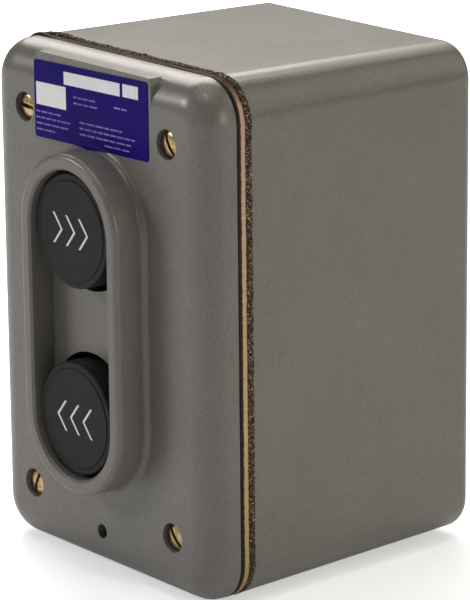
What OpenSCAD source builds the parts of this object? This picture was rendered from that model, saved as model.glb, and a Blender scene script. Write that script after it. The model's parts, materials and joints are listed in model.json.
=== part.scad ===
// Two-button control station: a cast, gasketed box with a cast cover.
// A tall guard ring round both buttons, boots and springs behind the heads,
// and one two-way contact block behind each button.
// X runs across, Y runs from the buttons to the wall, Z is up.
// The origin is under the middle of the station, at its lowest point.

/* [Enclosure] */
// Width of the castings
body_w = 86.7; // [82:0.1:96]
// Height of the castings
body_h = 130; // [127:0.5:144]
// Depth of the cast box behind the gaskets
box_d = 73; // [62:0.5:90]
// Corner radius of the castings, seen from the front
corner_r = 10.5; // [9.5:0.1:12]
// Wall thickness of the box at its open rim
wall_t = 4.4; // [3.6:0.1:5]
// Thickness of the back wall
back_t = 4.6; // [4:0.1:6]
// Draft of the box sides, measured at the back
draft_in = 1.45; // [0.6:0.05:1.8]
// Fillet round the back of the box
back_fillet = 3.2; // [1.5:0.1:4.5]

/* [Cover] */
// Depth of the cover from its flat face to its rim
cover_d = 9.2; // [8.6:0.1:11]
// Fillet round the front of the cover
front_fillet = 8.2; // [5:0.1:8.4]
// Thickness of the cover behind its flat face
face_t = 4; // [3.2:0.1:5]
// Width of the cover's rim
rim_w = 7; // [6:0.1:8]
// Diameter of the small accessory hole
accessory_d = 3.7; // [3:0.1:4.4]
// Height of the accessory hole above the base
accessory_z = 10.2; // [9.6:0.1:11]
// Width of the flat pad for the rating plate
pad_w = 46; // [40:0.2:50]
// How far the pad's top edge lies below the top of the cover
pad_low = 0.9; // [0.6:0.1:3]

/* [Guard] */
// Height of the guard ring above the flat face
guard_h = 9; // [7.8:0.1:11]
// Wall thickness of the guard ring
guard_t = 4; // [3.2:0.1:4.6]
// Gap between a button and the guard ring
guard_gap = 1; // [0.7:0.05:1.6]
// Rounding of the ring's outer rim
rim_round = 1.5; // [0.8:0.1:1.9]
// Fillet where the ring meets the face
root_fillet = 1.6; // [0.8:0.1:2.2]
// Height of the bridge between the buttons above the flat face
bridge_h = 2; // [1:0.1:3]

/* [Rating plate] */
// Width of the rating plate
label_w = 45.2; // [36:0.2:46]
// Height of the rating plate
label_h = 19.4; // [14:0.2:19.8]
// Thickness of the rating plate
label_t = 0.2; // [0.1:0.05:0.4]
// How much higher the plate was stuck at its right end
label_rise = 1.15; // [0:0.05:1.6]

/* [Seals and plate] */
// Thickness of the rubber sheet
sheet_t = 1; // [0.8:0.05:1.6]
// Thickness of the steel plate
plate_t = 1.7; // [1.4:0.05:2.4]
// Thickness of the cork gasket
cork_t = 1.7; // [1.2:0.05:2.4]
// How far the rubber sheet stands proud of the castings
sheet_proud = 0.2; // [0:0.05:0.4]
// How far the cork gasket stands proud of the castings
cork_proud = 0.45; // [0.2:0.05:0.8]
// Width of the cork gasket inside the castings' outline
cork_w = 7; // [6:0.1:8]

/* [Buttons] */
// Diameter of a button head
button_d = 28.6; // [27.6:0.1:29.4]
// Distance between the two button centres, as a share of the castings' height
button_share = 0.366; // [0.358:0.001:0.374]
// Depth of a button face below the guard's rim
button_sunk = 1.5; // [1:0.1:2.2]
// Height of a button head
head_h = 6.5; // [5.8:0.1:7]
// Travel of a button
travel = 4.5; // [3.9:0.1:4.7]
// Diameter of a button's stem
stem_d = 7; // [6.4:0.1:7.6]

/* [Springs] */
// Wire of the return springs
return_wire = 1; // [0.8:0.05:1.1]
// Mean diameter of the return springs
return_d = 10.6; // [10:0.1:11.4]
// Turns of the return springs
return_turns = 5; // [4:1:6]
// Wire of the contact springs
contact_wire = 0.55; // [0.4:0.05:0.65]
// Mean diameter of the contact springs
contact_spring_d = 7.2; // [6.8:0.1:7.8]
// Turns of the contact springs
contact_turns = 3; // [2:1:3]

/* [Contact blocks] */
// Distance from the side of the castings to a block
block_in = 7.35; // [6.4:0.05:8]
// Width of a block at its upper terminals, as a share of its width
tier_share = 0.708; // [0.7:0.001:0.716]
// Height of a block, as a share of the distance between the buttons
block_share = 0.715; // [0.68:0.005:0.75]
// Depth of a block from the plate to its lower terminals
tier_one_d = 16; // [15.4:0.1:17]
// Thickness of the contact strips
strip_t = 1; // [0.8:0.05:1.2]
// Width of the contact strips
strip_w = 6; // [5:0.1:7]
// Thickness of the silver tips
tip_t = 0.8; // [0.6:0.05:1]
// Diameter of the silver tips
tip_d = 4.4; // [3.6:0.1:5]
// Distance that a bridge moves from one pair of tips to the other
bridge_travel = 3; // [2.6:0.1:3.4]

/* [Screws] */
// Distance from the side of the castings to a cover screw
screw_in_x = 15.15; // [14.4:0.05:15.6]
// Distance from the end of the castings to a cover screw, as a share of their height
screw_share = 0.1223; // [0.118:0.0001:0.127]
// Thread diameter of the cover screws
cover_thread_d = 4.2; // [3.6:0.1:4.8]
// Head diameter of the cover screws
cover_head_d = 6.8; // [6.2:0.1:6.9]
// Diameter of the counterbores in the cover
counterbore_d = 7.4; // [7.3:0.1:8.2]
// Thread diameter of the terminal screws
terminal_thread_d = 3.2; // [2.6:0.1:3.6]

/* [Mounting] */
// Bore of the conduit hub, for a 3/4 inch pipe thread
conduit_d = 23.6; // [22:0.1:25]
// Height of the conduit hub inside the box
hub_h = 12; // [10:0.5:15]
// Tapping diameter of the holes in the back
mount_hole_d = 5.2; // [4:0.1:6.4]
// Depth of the holes in the back
mount_hole_depth = 10; // [7:0.5:12]
// Distance from the side of the castings to a back hole
mount_in_x = 11.6; // [10.4:0.05:13.4]
// Distance from the end of the castings to a back hole
mount_in_z = 14.2; // [13:0.05:16]

/* [Hidden] */
$fn = 64;

// Clearances and overruns
slide_gap = 0.05;
part_gap = 0.3;
slot_gap = 0.1;
over = 1;

// Stations along the depth, from the guard's rim to the wall
total_d = guard_h + cover_d + sheet_t + plate_t + cork_t + box_d;
rim_y = -total_d / 2;
face_y = rim_y + guard_h;
sheet_y = face_y + cover_d;
plate_y = sheet_y + sheet_t;
cork_y = plate_y + plate_t;
box_y = cork_y + cork_t;
back_y = box_y + box_d;

// Buttons and the guard round them
mid_z = body_h / 2;
button_pitch = button_share * body_h;
forward_z = mid_z + button_pitch / 2;
reverse_z = mid_z - button_pitch / 2;
recess_r = button_d / 2 + guard_gap;
bridge_edge_r = recess_r + guard_gap / 2;
guard_r = recess_r + guard_t;
clamp_r = guard_r - part_gap;
button_y = rim_y + button_sunk;
head_back_y = button_y + head_h;

// Button head
head_wall_share = 0.1;
head_wall = button_d / 2 * head_wall_share;
head_top = 2.5;
groove_d = 0.35;
groove_w = 0.4;
edge_round = 0.6;
face_r = button_d / 2 - head_wall;
stem_r = stem_d / 2;

// Boot: a flange under the cover, a dome and a cuff on the stem
boot_t = 1;
flange_r = clamp_r - part_gap;
dome_r = recess_r - 2 * guard_gap;
dome_round = 2;
cuff_t = 1.3;
cuff_len = 3;
cuff_y = head_back_y + part_gap;
boot_top_y = cuff_y + cuff_len - boot_t;

// Bushing: a cup through the plate with a hub that guides the stem
cup_t = 1.4;
cup_r = return_d / 2 + return_wire / 2 + cup_t + 2 * part_gap;
bush_flange_t = sheet_t;
bush_flange_w = 3.4;
bush_flange_r = cup_r + bush_flange_w;
cup_len = 5.2;
cup_floor_t = 1.5;
hub_len = 3;
guide_wall = 2.4;
hub_r = stem_r + guide_wall;
cup_end_y = cork_y + cup_len;
hub_end_y = cup_end_y + hub_len;

// Collar on the stem that the return spring pushes
collar_t = 1.4;
collar_r = return_d / 2 + return_wire / 2 + part_gap;
collar_y = boot_top_y + boot_t + slot_gap;
return_start_y = collar_y + collar_t;
return_end_y = cup_end_y - cup_floor_t;

// Clip on the stem behind the bushing
clip_t = 0.7;
clip_w = 2.6;
clip_r = stem_r + clip_w;
clip_groove = 0.6;
clip_y = hub_end_y + slot_gap;
clip_open_deg = 70;

// Plunger, sleeved over the end of the stem
sleeve_wall = 1.5;
sleeve_r = stem_r + slide_gap + sleeve_wall;
sleeve_y = clip_y + clip_t + clip_t;
sleeve_len = 4;
stem_end_y = sleeve_y + sleeve_len - strip_t - slot_gap;
rod_r = 2.6;
rod_past = 3;
sleeve_end_y = sleeve_y + sleeve_len;

// Contact block, measured from the back of the plate
block_w = body_w - 2 * block_in;
block_h = block_share * button_pitch;
tier_one_y = cork_y + tier_one_d;
closed_tip_y = tier_one_y + strip_t;
bridge_front_tip_y = closed_tip_y + tip_t + slot_gap;
bridge_y = bridge_front_tip_y + tip_t;
bridge_rear_tip_y = bridge_y + strip_t;
open_tip_y = bridge_rear_tip_y + tip_t + bridge_travel + slot_gap;
tier_two_y = open_tip_y + tip_t;
ring_y = bridge_rear_tip_y + slot_gap;
ring_t = 0.6;
ring_w = 1.6;
ring_r = rod_r + ring_w;
rod_end_y = tier_two_y + rod_past;
cap_t = 3.6;
cap_y = tier_two_y + cap_t;
cap_boss_end_y = rod_end_y + travel + part_gap + boot_t;
cap_in = 1;
cap_h = block_h - 2 * cap_in;
cap_boss_r = rod_r + guide_wall;
chamber_h = 13;
pocket_r = cup_r + part_gap;
pocket_end_y = sleeve_end_y + part_gap;

// Terminals and contacts across the block, from its ends to its middle
terminal_r = terminal_thread_d / 2;
terminal_head_w = 1.7;
terminal_head_r = terminal_r + terminal_head_w;
terminal_head_t = 2;
terminal_len = 6;
terminal_edge = 4;
clamp_t = 0.8;
clamp_side = 2 * terminal_head_r;
strip_ear = 1.2;
closed_end_x = block_w / 2 - strip_ear;
closed_screw_x = closed_end_x - terminal_edge;
tier_w = min(tier_share * block_w, 2 * (closed_screw_x - clamp_side / 2 - part_gap));
open_end_x = tier_w / 2 - strip_ear / 4;
open_screw_x = open_end_x - terminal_edge;
cap_w = 2 * (open_screw_x - clamp_side / 2 - 2 * part_gap);
cap_lip = 0.8;
chamber_w = cap_w - 2 * cap_lip;
tip_share = 0.725;
tip_x = tip_share * chamber_w / 2;
strip_in_x = tip_x - tip_d / 2 + slot_gap;
bridge_half = tip_x + tip_d / 2 + slot_gap;
bridge_hub_w = 2;

// Screws
terminal_turn_deg = 20;
block_turn_deg = 35;
block_screw_r = 1.7;
block_head_r = 3;
block_head_t = 1.9;
block_screw_in = 4;
block_screw_z = block_h / 2 - block_screw_in;
slot_w_share = 0.3;
slot_d_share = 0.5;
cover_screw_r = cover_thread_d / 2;
cover_head_sunk = 0.7;
cover_head_t = 4.1;
cover_dome = 1.1;
head_dome = 0.8;
counterbore_depth = cover_head_t + cover_head_sunk;
cover_grip = 13;
boss_wall = 3.5;
boss_r = cover_screw_r + boss_wall;
boss_len = 26;
web_t = 5;
screw_pitch_x = body_w - 2 * screw_in_x;
screw_low_z = screw_share * body_h;
screw_high_z = body_h - screw_low_z;
slot_turns = [[-1, screw_high_z, 4], [1, screw_high_z, 59],
              [-1, screw_low_z, 111], [1, screw_low_z, 48]];

// Hollow of the box and what stands in it
cavity_fillet = 2;
cavity_r = corner_r - wall_t;
cavity_end_y = back_y - back_t;
back_boss_wall = 3.6;
back_boss_r = mount_hole_d / 2 + back_boss_wall;
mount_pitch_x = body_w - 2 * mount_in_x;
mount_pitch_z = body_h - 2 * mount_in_z;
back_boss_len = mount_hole_depth + back_t / 2 - back_t;
conduit_r = conduit_d / 2;
hub_wall = 5.4;
conduit_hub_r = conduit_r + hub_wall;
conduit_y = cavity_end_y - conduit_hub_r - part_gap;
ground_z = mid_z;
ground_r = 2.4;
ground_boss_r = 5.5;
ground_boss_h = 4;
ground_head_r = 4.6;
ground_head_t = 2.6;
ground_len = 5;
ground_depth = ground_len + over;

// Rating plate pad, level with the flat face
pad_x = -0.4;
pad_corner = 1.8;
label_x = -1;
label_top = 1.6;
pad_bottom_z = forward_z + guard_r;
pad_top_z = body_h - pad_low;

// Cover hollow
pan_r = corner_r - rim_w + 2 * over;
cover_boss_wall = 2.5;
cover_boss_r = counterbore_d / 2 + cover_boss_wall;
bridge_skin = 3;

// A flat outline in X and Z, given thickness along Y
module slab(y0, t) {
    translate([0, y0 + t, 0]) rotate([90, 0, 0]) linear_extrude(t) children();
}

// A round rod along Y
module rod(x, z, y0, y1, r) {
    translate([x, y0, z]) rotate([-90, 0, 0]) cylinder(h = y1 - y0, r = r);
}

// A turned shape round the Y axis at x, z, from points given as radius and depth
module turned(x, z, points) {
    translate([x, 0, z]) rotate([-90, 0, 0]) rotate_extrude() polygon(points);
}

// A block along Y, centred on x and z
module bar(x, z, w, h, y0, y1) {
    translate([x - w / 2, y0, z - h / 2]) cube([w, y1 - y0, h]);
}

// The castings' outline, which may stand proud at the sides and the top
module outline(proud) {
    r = corner_r;
    half = body_w / 2 + proud;
    top = body_h + proud;
    for (x = [-half + r, half - r], z = [r, top - r]) translate([x, z]) circle(r = r);
    translate([-half + r, 0]) square([2 * (half - r), top]);
    translate([-half, r]) square([2 * half, top - 2 * r]);
}

// A rounded rectangle in X and Z, inset alike from the castings' outline
module inset_outline(inset, r) {
    half = body_w / 2 - inset;
    low = inset;
    high = body_h - inset;
    for (x = [-half + r, half - r], z = [low + r, high - r]) translate([x, z]) circle(r = r);
    translate([-half + r, low]) square([2 * (half - r), high - low]);
    translate([-half, low + r]) square([2 * half, high - low - 2 * r]);
}

// A rounded, drafted block: profile lists how far its sides step in at each depth
module soft_block(inset, r, profile) {
    half = body_w / 2 - inset;
    low = inset;
    high = body_h - inset;
    first = profile[0][1];
    last = profile[len(profile) - 1][1];
    corner = concat([[0, first]], [for (p = profile) [r - p[0], p[1]]], [[0, last]]);
    corners = [[half - r, low + r, 0], [-half + r, low + r, 90],
               [-half + r, high - r, 180], [half - r, high - r, 270]];
    for (c = corners)
        translate([c[0], 0, c[1]]) rotate([-90, 0, 0]) rotate([0, 0, c[2]])
            rotate_extrude(angle = 90) polygon(corner);
    back_first = [for (k = [len(profile) - 1:-1:0]) profile[k]];
    across = concat([for (p = profile) [high - p[0], p[1]]], [for (p = back_first) [low + p[0], p[1]]]);
    translate([half - r, 0, 0]) rotate([0, -90, 0]) linear_extrude(2 * (half - r)) polygon(across);
    upward = concat([for (p = profile) [half - p[0], p[1]]], [for (p = back_first) [-half + p[0], p[1]]]);
    translate([0, 0, low + r]) linear_extrude(high - low - 2 * r) polygon(upward);
}

// Steps of a quarter round
arc_steps = 8;

// Outside of the cast box, from its rim to its back
function box_profile(start, end, fillet) = concat(
    [[0, start]],
    [for (k = [0:arc_steps])
        [draft_in + fillet * (1 - cos(90 * k / arc_steps)),
         end - fillet + fillet * sin(90 * k / arc_steps)]]);

// Outside of the cover, from its flat face to its rim
function cover_profile(fillet) = concat(
    [for (k = [0:arc_steps])
        [fillet * (1 - sin(90 * k / arc_steps)), face_y + fillet * (1 - cos(90 * k / arc_steps))]],
    [[0, sheet_y]]);

// The places of the four cover screws
screw_places = [for (x = [-1, 1], z = [screw_low_z, screw_high_z]) [x * screw_pitch_x / 2, z]];
mount_places = [for (x = [-1, 1], z = [-1, 1]) [x * mount_pitch_x / 2, mid_z + z * mount_pitch_z / 2]];

// The cast box: drafted walls, screw bosses, conduit hub and tapped back bosses
module enclosure_box() color("#6b6860") {
    boss_end_y = box_y + boss_len;
    hub_top_z = hub_h;
    difference() {
        union() {
            difference() {
                soft_block(0, corner_r, box_profile(box_y, back_y, back_fillet));
                soft_block(wall_t, cavity_r, box_profile(box_y - over, cavity_end_y, cavity_fillet));
            }
            for (p = screw_places) {
                rod(p[0], p[1], box_y, boss_end_y, boss_r);
                side = p[0] > 0 ? 1 : -1;
                end = p[1] > mid_z ? 1 : -1;
                reach_x = body_w / 2 - wall_t / 2 - abs(p[0]);
                reach_z = body_h / 2 - wall_t / 2 - abs(p[1] - mid_z);
                bar(p[0] + side * reach_x / 2, p[1], reach_x, web_t, box_y, boss_end_y);
                bar(p[0], p[1] + end * reach_z / 2, web_t, reach_z, box_y, boss_end_y);
            }
            for (p = mount_places)
                rod(p[0], p[1], cavity_end_y - back_boss_len, cavity_end_y + back_t / 2, back_boss_r);
            rod(0, ground_z, cavity_end_y - ground_boss_h, cavity_end_y + back_t / 2, ground_boss_r);
            translate([0, conduit_y, wall_t / 2])
                cylinder(h = hub_top_z - wall_t / 2, r = conduit_hub_r);
        }
        for (p = screw_places) rod(p[0], p[1], box_y - over, boss_end_y - over, cover_screw_r + slide_gap);
        for (p = mount_places)
            rod(p[0], p[1], back_y - mount_hole_depth, back_y + over, mount_hole_d / 2);
        rod(0, ground_z, cavity_end_y - ground_boss_h - over,
            cavity_end_y - ground_boss_h + ground_depth, ground_r + slide_gap);
        translate([0, conduit_y, -over]) cylinder(h = hub_top_z + 2 * over, r = conduit_r);
    }
}

// A stadium round both buttons
module stadium(r) {
    for (z = [reverse_z, forward_z]) translate([0, z]) circle(r = r);
    translate([-r, reverse_z]) square([2 * r, button_pitch]);
}

// The guard's section: its fillet at the face, its outer wall and its rounded rim
function guard_section() = concat(
    [[recess_r, face_y + face_t / 2], [guard_r + root_fillet, face_y + face_t / 2],
     [guard_r + root_fillet, face_y]],
    [for (k = [1:arc_steps / 2])
        [guard_r + root_fillet * (1 - sin(180 * k / arc_steps)),
         face_y - root_fillet * (1 - cos(180 * k / arc_steps))]],
    [for (k = [0:arc_steps / 2])
        [guard_r - rim_round * (1 - cos(180 * k / arc_steps)),
         rim_y + rim_round * (1 - sin(180 * k / arc_steps))]],
    [[recess_r + edge_round, rim_y], [recess_r, rim_y + edge_round]]);

// The guard ring: two half rounds and two straight runs of one section
module guard_ring() {
    for (e = [[forward_z, 180], [reverse_z, 0]])
        translate([0, 0, e[0]]) rotate([-90, 0, 0]) rotate([0, 0, e[1]])
            rotate_extrude(angle = 180) polygon(guard_section());
    for (side = [0, 1]) translate([0, 0, reverse_z]) mirror([side, 0, 0])
        linear_extrude(button_pitch) polygon(guard_section());
}

// The outline of the bridge between the two buttons
module bridge_outline(grow) {
    difference() {
        translate([-recess_r - slide_gap, reverse_z]) square([2 * (recess_r + slide_gap), button_pitch]);
        for (z = [reverse_z, forward_z]) translate([0, z]) circle(r = bridge_edge_r + grow);
    }
}

// The flat pad that fills the top fillet behind the rating plate
module plate_pad() {
    height = pad_top_z - pad_bottom_z;
    slab(face_y, cover_d) translate([pad_x, pad_bottom_z]) {
        for (s = [-1, 1])
            translate([s * (pad_w / 2 - pad_corner), height - pad_corner]) circle(r = pad_corner);
        translate([-pad_w / 2, 0]) square([pad_w, height - pad_corner]);
        translate([-pad_w / 2 + pad_corner, 0]) square([pad_w - 2 * pad_corner, height]);
    }
}

// The cast cover: guard ring, bridge, counterbores and a hollow back
module front_cover() color("#6c6962") {
    fillet = min(front_fillet, corner_r - over, cover_d);
    hollow_t = cover_d - face_t;
    difference() {
        union() {
            difference() {
                union() {
                    soft_block(0, corner_r, cover_profile(fillet));
                    plate_pad();
                }
                slab(face_y + face_t, hollow_t + over) difference() {
                    inset_outline(rim_w, pan_r);
                    for (p = screw_places) translate(p) circle(r = cover_boss_r);
                    stadium(guard_r);
                }
                slab(face_y - over, cover_d + 2 * over) stadium(recess_r);
            }
            guard_ring();
            slab(face_y - bridge_h, cover_d + bridge_h) bridge_outline(0);
        }
        slab(face_y + bridge_skin, cover_d) intersection() {
            bridge_outline(bridge_skin);
            translate([-recess_r + bridge_skin, reverse_z])
                square([2 * (recess_r - bridge_skin), button_pitch]);
        }
        for (p = screw_places) {
            rod(p[0], p[1], face_y - over, face_y + counterbore_depth, counterbore_d / 2);
            rod(p[0], p[1], face_y, sheet_y + over, cover_screw_r + part_gap);
        }
        rod(0, accessory_z, face_y - over, face_y + face_t + over, accessory_d / 2);
    }
}

// The thin rating plate, stuck on its pad a little askew and trimmed round the guard
module rating_plate() color("#1b1070") {
    mid = pad_top_z - label_top;
    slab(face_y - label_t, label_t) difference() {
        translate([label_x, mid]) polygon([
            [-label_w / 2, -label_rise / 2], [label_w / 2, label_rise / 2],
            [label_w / 2, label_rise / 2 - label_h], [-label_w / 2, -label_rise / 2 - label_h]]);
        stadium(guard_r + root_fillet + slot_gap);
    }
}

// The rubber sheet between the cover and the plate
module rubber_sheet() color("#23211e") {
    slab(sheet_y, sheet_t) difference() {
        outline(sheet_proud);
        for (z = [reverse_z, forward_z]) translate([0, z]) circle(r = flange_r + part_gap);
        for (p = screw_places) translate(p) circle(r = cover_screw_r + part_gap);
    }
}

// The plated steel plate that carries both mechanisms
module mounting_plate() color("#b39a86") {
    slab(plate_y, plate_t) difference() {
        outline(0);
        for (z = [reverse_z, forward_z]) {
            translate([0, z]) circle(r = cup_r + slot_gap);
            for (s = [-1, 1]) translate([0, z + s * block_screw_z]) circle(r = block_screw_r + slide_gap);
        }
        for (p = screw_places) translate(p) circle(r = cover_screw_r + part_gap);
    }
}

// The cork gasket: a frame with eyes for the cover screws
module cork_gasket() color("#4a3b26") {
    slab(cork_y, cork_t) difference() {
        outline(cork_proud);
        difference() {
            inset_outline(cork_w, corner_r - wall_t);
            for (p = screw_places) {
                translate(p) circle(r = boss_r);
                side = p[0] > 0 ? 1 : -1;
                reach_x = body_w / 2 - cork_w / 2 - abs(p[0]);
                translate([p[0] + side * reach_x / 2 - reach_x / 2, p[1] - web_t / 2])
                    square([reach_x, web_t]);
            }
        }
        for (p = screw_places) translate(p) circle(r = cover_screw_r + part_gap);
    }
}

// A domed, slotted head that stands on y0 and faces the buttons, or the wall when flip is 1
module slotted_head(x, z, y0, r, t, dome, turn, flip) {
    translate([x, y0, z]) mirror([0, flip, 0]) difference() {
        turned(0, 0, concat([[0, 0], [r, 0]],
            [for (k = [0:arc_steps])
                [r * cos(90 * k / arc_steps), dome - t - dome * sin(90 * k / arc_steps)]]));
        rotate([0, turn, 0]) translate([-r - over, -t - over, -r * slot_w_share / 2])
            cube([2 * (r + over), over + t * slot_d_share, r * slot_w_share]);
    }
}

// The four cover screws
module cover_screws() color("#b08a4a") {
    seat_y = face_y + counterbore_depth;
    for (s = slot_turns) {
        x = s[0] * screw_pitch_x / 2;
        slotted_head(x, s[1], seat_y, cover_head_d / 2, cover_head_t, cover_dome, s[2], 0);
        rod(x, s[1], seat_y, box_y + cover_grip, cover_screw_r);
    }
}

// The earth screw in the back of the box
module ground_screw() color("#2f7a3a") {
    seat_y = cavity_end_y - ground_boss_h;
    slotted_head(0, ground_z, seat_y, ground_head_r, ground_head_t, head_dome, 0, 0);
    rod(0, ground_z, seat_y, seat_y + ground_len, ground_r);
}

// A rubber boot: flange under the cover, dome and cuff round the stem
module boot(z) color("#1c1a19") {
    shoulder_y = boot_top_y + dome_round;
    outer = [for (k = [0:arc_steps / 2])
        [dome_r - dome_round * (1 - sin(180 * k / arc_steps)),
         shoulder_y - dome_round * cos(180 * k / arc_steps)]];
    inner = [for (k = [arc_steps / 2:-1:0])
        [dome_r - boot_t - (dome_round - boot_t) * (1 - sin(180 * k / arc_steps)),
         shoulder_y - (dome_round - boot_t) * cos(180 * k / arc_steps)]];
    hug_r = stem_r + slide_gap;
    turned(0, z, concat(
        [[hug_r, cuff_y], [hug_r + cuff_t, cuff_y], [hug_r + cuff_t, boot_top_y]],
        outer,
        [[dome_r, sheet_y], [flange_r, sheet_y], [flange_r, plate_y], [dome_r - boot_t, plate_y]],
        inner,
        [[hug_r, boot_top_y + boot_t]]));
}

// A brass bushing: a cup for the spring and a hub that guides the stem
module bushing(z) color("#b5924c") {
    turned(0, z, [
        [stem_r + slide_gap, return_end_y], [cup_r - cup_t, return_end_y],
        [cup_r - cup_t, plate_y - bush_flange_t], [bush_flange_r, plate_y - bush_flange_t],
        [bush_flange_r, plate_y], [cup_r, plate_y], [cup_r, cup_end_y],
        [hub_r, cup_end_y], [hub_r, hub_end_y], [stem_r + slide_gap, hub_end_y]]);
}

// A moulded button head with its stem and the collar that carries the spring
module button(z) color("#322e2e") {
    r = button_d / 2;
    ring_y = button_y + groove_d / 2;
    turned(0, z, concat(
        [[0, button_y], [face_r - groove_w, button_y], [face_r - groove_w / 2, button_y + groove_d],
         [face_r, ring_y], [r - edge_round, ring_y]],
        [for (k = [1:arc_steps / 2])
            [r - edge_round * (1 - sin(180 * k / arc_steps)),
             ring_y + edge_round * (1 - cos(180 * k / arc_steps))]],
        [[r, head_back_y], [r - head_wall, head_back_y], [r - head_wall, button_y + head_top],
         [stem_r, button_y + head_top], [stem_r, collar_y], [collar_r, collar_y],
         [collar_r, return_start_y], [stem_r, return_start_y], [stem_r, clip_y],
         [stem_r - clip_groove, clip_y], [stem_r - clip_groove, clip_y + clip_t],
         [stem_r, clip_y + clip_t], [stem_r, stem_end_y], [0, stem_end_y]]));
}

// A clip in the groove of the stem
module stem_clip(z) color("#8d8f92") {
    slab(clip_y, clip_t) translate([0, z]) difference() {
        circle(r = clip_r);
        circle(r = stem_r - clip_groove);
        polygon([[0, 0], 2 * clip_r * [-sin(clip_open_deg / 2), -cos(clip_open_deg / 2)],
                 2 * clip_r * [sin(clip_open_deg / 2), -cos(clip_open_deg / 2)]]);
    }
}

// A plunger sleeved on the stem, with a rod that carries the bridge
module plunger(z) color("#d8d2c0") {
    groove_r = rod_r - ring_t;
    turned(0, z, [
        [0, stem_end_y + slot_gap], [stem_r + slide_gap, stem_end_y + slot_gap],
        [stem_r + slide_gap, sleeve_y], [sleeve_r, sleeve_y], [sleeve_r, sleeve_end_y],
        [rod_r, sleeve_end_y], [rod_r, ring_y], [groove_r, ring_y], [groove_r, ring_y + ring_t],
        [rod_r, ring_y + ring_t], [rod_r, rod_end_y], [0, rod_end_y]]);
}

// The ring that holds the bridge on the plunger
module plunger_ring(z) color("#8d8f92") {
    turned(0, z, [[rod_r - ring_t, ring_y], [ring_r, ring_y], [ring_r, ring_y + ring_t],
                  [rod_r - ring_t, ring_y + ring_t]]);
}

// The moulded block: two tiers of terminals round a contact chamber
module block_housing(z) color("#3a2a22") {
    lift = strip_w + 2 * slot_gap;
    difference() {
        union() {
            bar(0, z, block_w, block_h, cork_y, tier_one_y);
            bar(0, z, tier_w, block_h, cork_y, tier_two_y);
        }
        rod(0, z, cork_y - over, pocket_end_y + over, pocket_r);
        bar(0, z, chamber_w, chamber_h, pocket_end_y, tier_two_y + over);
        bar(0, z, 2 * open_end_x + strip_ear, lift, tier_one_y, tier_one_y + strip_t + slot_gap);
        for (s = [-1, 1]) {
            rod(0, z + s * block_screw_z, cork_y - over, tier_two_y + over, block_screw_r + slide_gap);
            rod(s * closed_screw_x, z, tier_one_y - terminal_len, tier_one_y + over, terminal_r + slide_gap);
            rod(s * open_screw_x, z, tier_two_y - terminal_len + strip_t, tier_two_y + over,
                terminal_r + slide_gap);
            for (e = [-1, 1])
                bar(s * (block_w / 2 + tier_w / 2) / 2, z + e * block_h / 2, (block_w - tier_w) / 2 + over,
                    block_h / 2 - strip_w, tier_one_y - strip_w, tier_one_y + over);
        }
    }
}

// The cap over the chamber, with a boss that guides the plunger's rod
module block_cap(z) color("#4a382c") {
    difference() {
        union() {
            bar(0, z, cap_w, cap_h, tier_two_y, cap_y);
            rod(0, z, tier_two_y, cap_boss_end_y, cap_boss_r);
        }
        rod(0, z, tier_two_y - over, cap_boss_end_y - boot_t, rod_r + slide_gap);
        rod(0, z, tier_two_y - over, ring_y + ring_t + travel + part_gap, ring_r + part_gap);
        for (s = [-1, 1]) {
            bar(s * (strip_in_x - slot_gap + cap_w / 2), z, cap_w, strip_w + 2 * slot_gap,
                tier_two_y - over, tier_two_y + strip_t + slot_gap);
            rod(0, z + s * block_screw_z, tier_two_y - over, cap_y + over, block_screw_r + slide_gap);
        }
    }
}

// One pair of contact strips; dir is 1 where the tips face the wall
module contact_pair(z, y0, end_x, screw_x, tip_y0) color("#b8733e") {
    for (s = [-1, 1]) {
        difference() {
            bar(s * (strip_in_x + end_x) / 2, z, end_x - strip_in_x, strip_w, y0, y0 + strip_t);
            rod(s * screw_x, z, y0 - over, y0 + strip_t + over, terminal_r + slot_gap);
        }
        rod(s * tip_x, z, tip_y0, tip_y0 + tip_t, tip_d / 2);
    }
}

// The moving bridge with a tip on each face at each end
module contact_bridge(z) color("#c07c46") {
    difference() {
        union() {
            bar(0, z, 2 * bridge_half, strip_w, bridge_y, bridge_rear_tip_y);
            rod(0, z, bridge_y, bridge_rear_tip_y, rod_r + bridge_hub_w);
            for (s = [-1, 1]) rod(s * tip_x, z, bridge_front_tip_y, bridge_rear_tip_y + tip_t, tip_d / 2);
        }
        rod(0, z, bridge_y - over, bridge_rear_tip_y + over, rod_r + slide_gap);
    }
}

// Points and rings of a coil round the Y axis; each end runs straight for one wire diameter
coil_sides = 6;
coil_rings = 8;
function coil_point(t, r, y0, rise, turns) =
    [r * cos(360 * turns * t), y0 + rise * t, r * sin(360 * turns * t)];
function coil_tangent(t, r, rise, turns) = let (
    w = 2 * PI * turns,
    v = [-r * w * sin(360 * turns * t), rise, r * w * cos(360 * turns * t)]) v / norm(v);
function coil_ring(p, radial, tangent, wire) = let (side = cross(tangent, radial))
    [for (k = [0:coil_sides - 1])
        p + wire / 2 * (cos(360 * k / coil_sides) * radial + sin(360 * k / coil_sides) * side)];
function coil_rows(r, wire, y0, rise, turns) = let (
    steps = turns * coil_rings,
    first = coil_tangent(0, r, rise, turns),
    last = coil_tangent(1, r, rise, turns),
    end_dir = [cos(360 * turns), 0, sin(360 * turns)])
    concat(
        [coil_ring(coil_point(0, r, y0, rise, turns) - wire * first, [1, 0, 0], first, wire)],
        [for (k = [0:steps]) let (t = k / steps)
            coil_ring(coil_point(t, r, y0, rise, turns), [cos(360 * turns * t), 0, sin(360 * turns * t)],
                coil_tangent(t, r, rise, turns), wire)],
        [coil_ring(coil_point(1, r, y0, rise, turns) + wire * last, end_dir, last, wire)]);

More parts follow.
